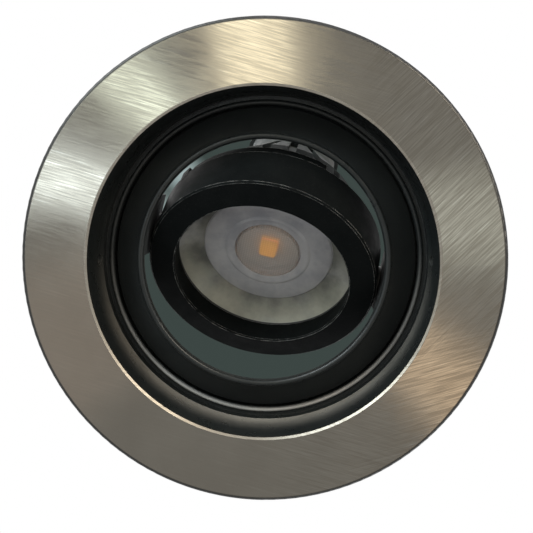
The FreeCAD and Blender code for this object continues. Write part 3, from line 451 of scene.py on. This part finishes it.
# Spins a closed line of (radius, depth) points, in millimetres, about the light's axis.
def lathe(name, profile, look, steps=128):
    shape = bmesh.new()
    points = [shape.verts.new((radius * mm, 0, -depth * mm)) for radius, depth in profile]
    for first, second in zip(points, points[1:] + points[:1]):
        shape.edges.new((first, second))
    bmesh.ops.spin(shape, geom=list(shape.verts) + list(shape.edges), cent=(0, 0, 0), axis=(0, 0, 1),
                   angle=math.tau, steps=steps, use_merge=True)
    bmesh.ops.remove_doubles(shape, verts=shape.verts, dist=1e-7)
    bmesh.ops.dissolve_degenerate(shape, edges=shape.edges, dist=1e-7)
    made = headPiece(name, shape, look, 32.0)
    return made


# The lamp's moulded lens, in millimetres in the head's frame: a dished wall, a clouded ring, a rounded
# ridge and a flat window with rows of tiny lenslets over the chip. Depths grow towards the viewer.
lens = {"rim": 23.65, "front": 1.5, "open": 22.75, "wall": 17.1, "floor": -2.5, "ridge": 10.6, "window": 8.2,
        "windowFront": -1.1, "back": -3.9, "windowBack": -3.4, "lenslet": 0.62}

# Its moulded acrylic: two tones, how much of the change is painted light that makes the lower side lighter
# rather than cloud, how clear it is, its roughness and the height of its waves or lenslets in micrometres.
# On the wall the painted light fades out towards the ring; the window has painted shade between its lenslets.
acrylic = {
    "lens_wall": {"tones": ((0.14, 0.145, 0.14), (0.66, 0.65, 0.54)), "paintedLightShare": 0.68, "clear": 0.0,
                  "rough": (0.12, 0.24), "waves": 110, "paintedLightFade": (16.6, 22.2, 0.12)},
    "lens_ring": {"tones": ((0.46, 0.47, 0.52), (0.80, 0.79, 0.80)), "paintedLightShare": 0.45, "clear": 0.0,
                  "rough": (0.10, 0.22), "waves": 110},
    "lens_window": {"tones": ((0.88, 0.84, 0.82), (0.98, 0.94, 0.90)), "paintedLightShare": 0.45, "clear": 0.66,
                    "rough": (0.10, 0.18), "lenslets": 30, "lensletShadeTone": (0.42, 0.42, 0.42)},
}


def makeAcrylic(name):
    look = acrylic[name]
    material, tree, shader, place = startMaterial(name)
    inHead = {"Vector": place, "Location": headPlace.translation, "Rotation": headPlace.to_euler()}
    local = put(tree, "ShaderNodeMapping", inHead, vector_type="TEXTURE").outputs[0]
    x, y = axesOf(tree, local)[:2]
    cloud = rangeOf(tree, noise(tree, local, 150.0, 4.0, 0.6), 0.3, 0.7)
    # painted light: the lower side is made lighter, and on the wall this fades out towards the ring
    lower = between(tree, y, (-18, 20))
    if "paintedLightFade" in look:
        inner, outer, share = look["paintedLightFade"]
        lower = times(tree, lower, rangeOf(tree, fromAxis(tree, x, y), inner * mm, outer * mm, share))
    colour = mixColour(tree, mixNumber(tree, look["paintedLightShare"], cloud, lower),
                       *(opaque(tone) for tone in look["tones"]))
    if "lenslets" in look:
        cells = put(tree, "ShaderNodeTexVoronoi", {"Vector": local, "Scale": 1.0 / (lens["lenslet"] * mm),
                                                   "Randomness": 0.0}, voronoi_dimensions="2D")
        centre = cells.outputs["Distance"]
        height, depth = rangeOf(tree, centre, 0.0, 0.5, 1.0, 0.0), look["lenslets"]
        # painted shade in the creases between the lenslets
        creaseShade = times(tree, rangeOf(tree, centre, 0.18, 0.42), 0.35)
        colour = mixColour(tree, creaseShade, colour, opaque(look["lensletShadeTone"]))
    else:
        height, depth = noise(tree, local, 230.0, 3.0, 0.5), look["waves"]
    rough = rangeOf(tree, cloud, 0.0, 1.0, *look["rough"], smooth=False)
    feedShader(tree, shader, colour, rough, height, depth)
    shader.inputs["Alpha"].default_value = 1.0 - look["clear"]
    shader.inputs["IOR"].default_value = 1.49
    return material


def lensWall():
    wall, rim = lens["wall"], lens["rim"]
    return lathe("lensWall", [
        (rim, lens["front"]), (rim, 0.0), (20.4, -1.25), (wall, lens["back"]),
        (wall - 0.4, lens["back"] + 0.2), (wall, lens["floor"]), (19.6, -0.7), (lens["open"], 1.15),
        (lens["open"] + 0.3, lens["front"])],
        makeAcrylic("lens_wall"))


def lensRing():
    wall, ridge, window, floor = lens["wall"], lens["ridge"], lens["window"], lens["floor"]
    return lathe("lensRing", [
        (wall - 0.02, floor), (wall - 0.4, floor + 0.35), (14.4, floor + 0.75), (12.2, floor + 0.62),
        (ridge + 0.7, floor + 0.6), (ridge + 0.3, floor + 0.85), (ridge - 0.2, floor + 0.9),
        (ridge - 0.8, floor + 0.7), (window + 0.8, floor + 0.7), (window + 0.5, floor + 0.55),
        (window + 0.4, floor - 1.0), (window + 0.05, floor - 1.0), (window + 0.05, lens["back"]),
        (wall - 0.6, lens["back"])],
        makeAcrylic("lens_ring"))


def lensWindow():
    edge, front, back = lens["window"], lens["windowFront"], lens["windowBack"]
    return lathe("lensWindow", [
        (0.0, front + 0.25), (4.0, front + 0.2), (edge - 0.5, front + 0.05), (edge - 0.05, front - 0.2),
        (edge, front - 0.5), (edge, back), (0.0, back)],
        makeAcrylic("lens_window"))


# Millimetres in the head's frame: width, rounding, and the depths of the top and the foot.
dome = {"side": 4.4, "round": 0.7, "top": -1.9, "foot": -4.25}


# Soft square of phosphor that stands on the chip, up to just behind the window.
def phosphorDome():
    side, top, foot = (dome[key] * mm for key in ("side", "top", "foot"))
    shape = bmesh.new()
    bmesh.ops.create_cube(shape, size=1.0, matrix=Matrix.Translation((0, 0, -0.5 * (top + foot)))
                          @ Matrix.Diagonal((side, side, top - foot, 1)))
    bmesh.ops.bevel(shape, geom=list(shape.edges), affect="EDGES", offset=dome["round"] * mm, segments=4,
                    profile=0.5, material=-1)
    made = headPiece("phosphorDome", shape, materials["phosphor"], 40.0)


wallPiece = lensWall()
lensRing()
lensWindow()
phosphorDome()
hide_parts("lamp_lens", "lamp_optic")
print("lens and phosphor built")


# A square sheet of the room, half its sides from its middle.
def flatSheet(name, middle, across, up):
    shape = bmesh.new()
    shape.faces.new([shape.verts.new(middle + across * a + up * b)
                     for a, b in ((-1, -1), (1, -1), (1, 1), (-1, 1))])
    made = addObject(name, meshOf(name, shape))
    return made


# 1 for the rays that see the background itself, 0 for those that light the object.
def seenDirectly(tree):
    path = put(tree, "ShaderNodeLightPath").outputs
    return plus(tree, plus(tree, path["Is Camera Ray"], path["Is Glossy Ray"]),
                path["Is Transmission Ray"], clamp=True)


# Plain pale floor, in metres, that brightens to the background's white far off.
ground = {"drop": 2.2, "size": 36.0, "tone": (0.80, 0.80, 0.79), "brightens": (2.7, 3.6), "glow": 0.85}


def buildFloor():
    half = 0.5 * ground["size"]
    floor = flatSheet("floor", Vector((0, 0, -ground["drop"])), Vector((half, 0, 0)), Vector((0, half, 0)))
    material, tree, shader, place = startMaterial("floor_paint")
    shader.inputs["Base Color"].default_value = opaque(ground["tone"])
    shader.inputs["Roughness"].default_value = 0.9
    shader.inputs["Specular IOR Level"].default_value = 0.1
    away = put(tree, "ShaderNodeVectorMath", {0: place}, operation="LENGTH").outputs["Value"]
    glow = times(tree, rangeOf(tree, away, *ground["brightens"]), seenDirectly(tree))
    shader.inputs["Emission Color"].default_value = opaque(ground["tone"])
    tree.links.new(times(tree, glow, ground["glow"]), shader.inputs["Emission Strength"])
    dress(floor, material)


surround = {"light": 0.20, "background": 1.0}      # strength as a light, and as what the camera sees


def buildSurround():
    world = bpy.data.worlds.new("surround")
    bpy.context.scene.world = world
    world.use_nodes = True
    tree = world.node_tree
    tree.nodes.clear()
    strength = rangeOf(tree, seenDirectly(tree), 0.0, 1.0, surround["light"], surround["background"], False)
    back = put(tree, "ShaderNodeBackground", {"Color": (1, 1, 1, 1), "Strength": strength})
    put(tree, "ShaderNodeOutputWorld", {"Surface": back.outputs[0]})


# Stands a camera or a lamp at a spot, with its right, up and back directions.
def stand(obj, spot, right, up, back):
    obj.matrix_world = Matrix.Translation(spot) @ Matrix((right, up, back)).transposed().to_4x4()


# Camera, from the photograph: position and line of sight in metres, focal length for a 36 mm sensor.
view = {"spot": (0.011237, -0.021906, -0.219284), "sight": (-0.05092, 0.09928, 0.99376),
        "lens": 62.47, "shift": (0.0075, -0.0063)}


def buildCamera():
    data = bpy.data.cameras.new("photoCamera")
    data.lens, data.sensor_width = view["lens"], 36.0
    data.shift_x, data.shift_y = view["shift"]
    data.clip_start, data.clip_end = 0.01, 60.0
    camera = addObject("photoCamera", data)
    back = -Vector(view["sight"]).normalized()
    right = Vector((0, -1, 0)).cross(back).normalized()
    stand(camera, view["spot"], right, back.cross(right), back)
    bpy.context.scene.camera = camera


# Painted shade: a grey-green card seen through the openings beside the head, in place of the shaded space
# behind them: metres along the line of sight, half its side, its tone, and the place, radius and tone of its
# lighter patches, which are painted highlights.
card = {"away": 3.2, "half": 0.53, "tone": (0.046, 0.062, 0.057),
        "glints": (((-0.43, -0.015, 0), 0.10, (0.34, 0.42, 0.42)),
                   ((-0.519, 0.106, 0), 0.09, (0.30, 0.37, 0.36)))}


def buildCard():
    sight = Vector(view["sight"]).normalized()
    across = sight.cross(Vector((0, -1, 0))).normalized()
    sheet = flatSheet("shadeCardFar", Vector(view["spot"]) + sight * card["away"], across * card["half"],
                      across.cross(sight) * card["half"])
    material = bpy.data.materials.new("painted_shade_grey")
    material.use_nodes = True
    tree = material.node_tree
    tree.nodes.clear()
    x, y = axesOf(tree, put(tree, "ShaderNodeTexCoord").outputs["Object"])[:2]
    flat = put(tree, "ShaderNodeCombineXYZ", {0: x, 1: y}).outputs[0]
    tone = opaque(card["tone"])
    # painted highlights: lighter patches on the card
    for place, radius, lighter in card["glints"]:
        far = put(tree, "ShaderNodeVectorMath", {0: flat, 1: place}, operation="DISTANCE").outputs["Value"]
        tone = mixColour(tree, rangeOf(tree, far, radius, 0.0), tone, opaque(lighter))
    glow = put(tree, "ShaderNodeEmission", {"Color": tone, "Strength": 1.0})
    put(tree, "ShaderNodeOutputMaterial", {"Surface": glow.outputs[0]})
    dress(sheet, material)
    sheet.visible_diffuse = sheet.visible_glossy = sheet.visible_shadow = False


# Soft panels that face the trim: direction round Z, angle from straight down, distance in metres, size
# across and outwards, brightness and tint.
panels = {
    "leftStrip": (190, 25, 0.75, (0.075, 0.46), 2.2, (0.82, 0.94, 1.0)),
    "upperLeftStrip": (221, 25, 0.75, (0.070, 0.46), 1.8, (0.88, 1.0, 0.92)),
    "upperStrip": (260, 25, 0.75, (0.12, 0.46), 1.7, (1.0, 0.93, 0.72)),
    "rightFill": (0, 26, 0.75, (0.15, 0.40), 0.36, (0.93, 1.0, 0.94)),
    "lowerFill": (45, 28, 0.75, (0.11, 0.40), 0.62, (1.0, 0.72, 0.45)),
    "lowerLeftFill": (152, 26, 0.75, (0.24, 0.40), 0.10, (1.0, 0.76, 0.62)),
    "coveCool": (232, 62, 0.8, (0.55, 0.34), 6.5, (0.88, 0.97, 1.0)),
    "coveWarm": (312, 62, 0.8, (0.40, 0.34), 6.0, (1.0, 0.88, 0.72)),
    "topSoft": (245, 150, 1.5, (1.2, 1.2), 2.6, (1.0, 0.99, 0.97)),
    "topFill": (60, 120, 1.6, (0.9, 0.9), 2.4, (0.97, 0.99, 1.0)),
}


def buildPanels():
    for name, (around, offAxis, away, (across, outwards), bright, tint) in panels.items():
        data = bpy.data.lights.new(name, "AREA")
        data.shape, data.size, data.size_y = "RECTANGLE", across, outwards
        data.energy = bright * across * outwards * math.pi
        data.color = tint
        light = addObject(name, data)
        light.visible_camera = False
        off, turn = math.radians(offAxis), math.radians(around)
        out = Vector((math.cos(turn), math.sin(turn), 0))
        back = out * math.sin(off) - Vector((0, 0, 1)) * math.cos(off)
        side = Vector((0, 0, 1)).cross(out)
        stand(light, back * away, side, back.cross(side), back)


buildFloor()
buildSurround()
buildCamera()
buildCard()
buildPanels()
bpy.context.scene.view_settings.view_transform = "Standard"
print("room, camera and panels ready")
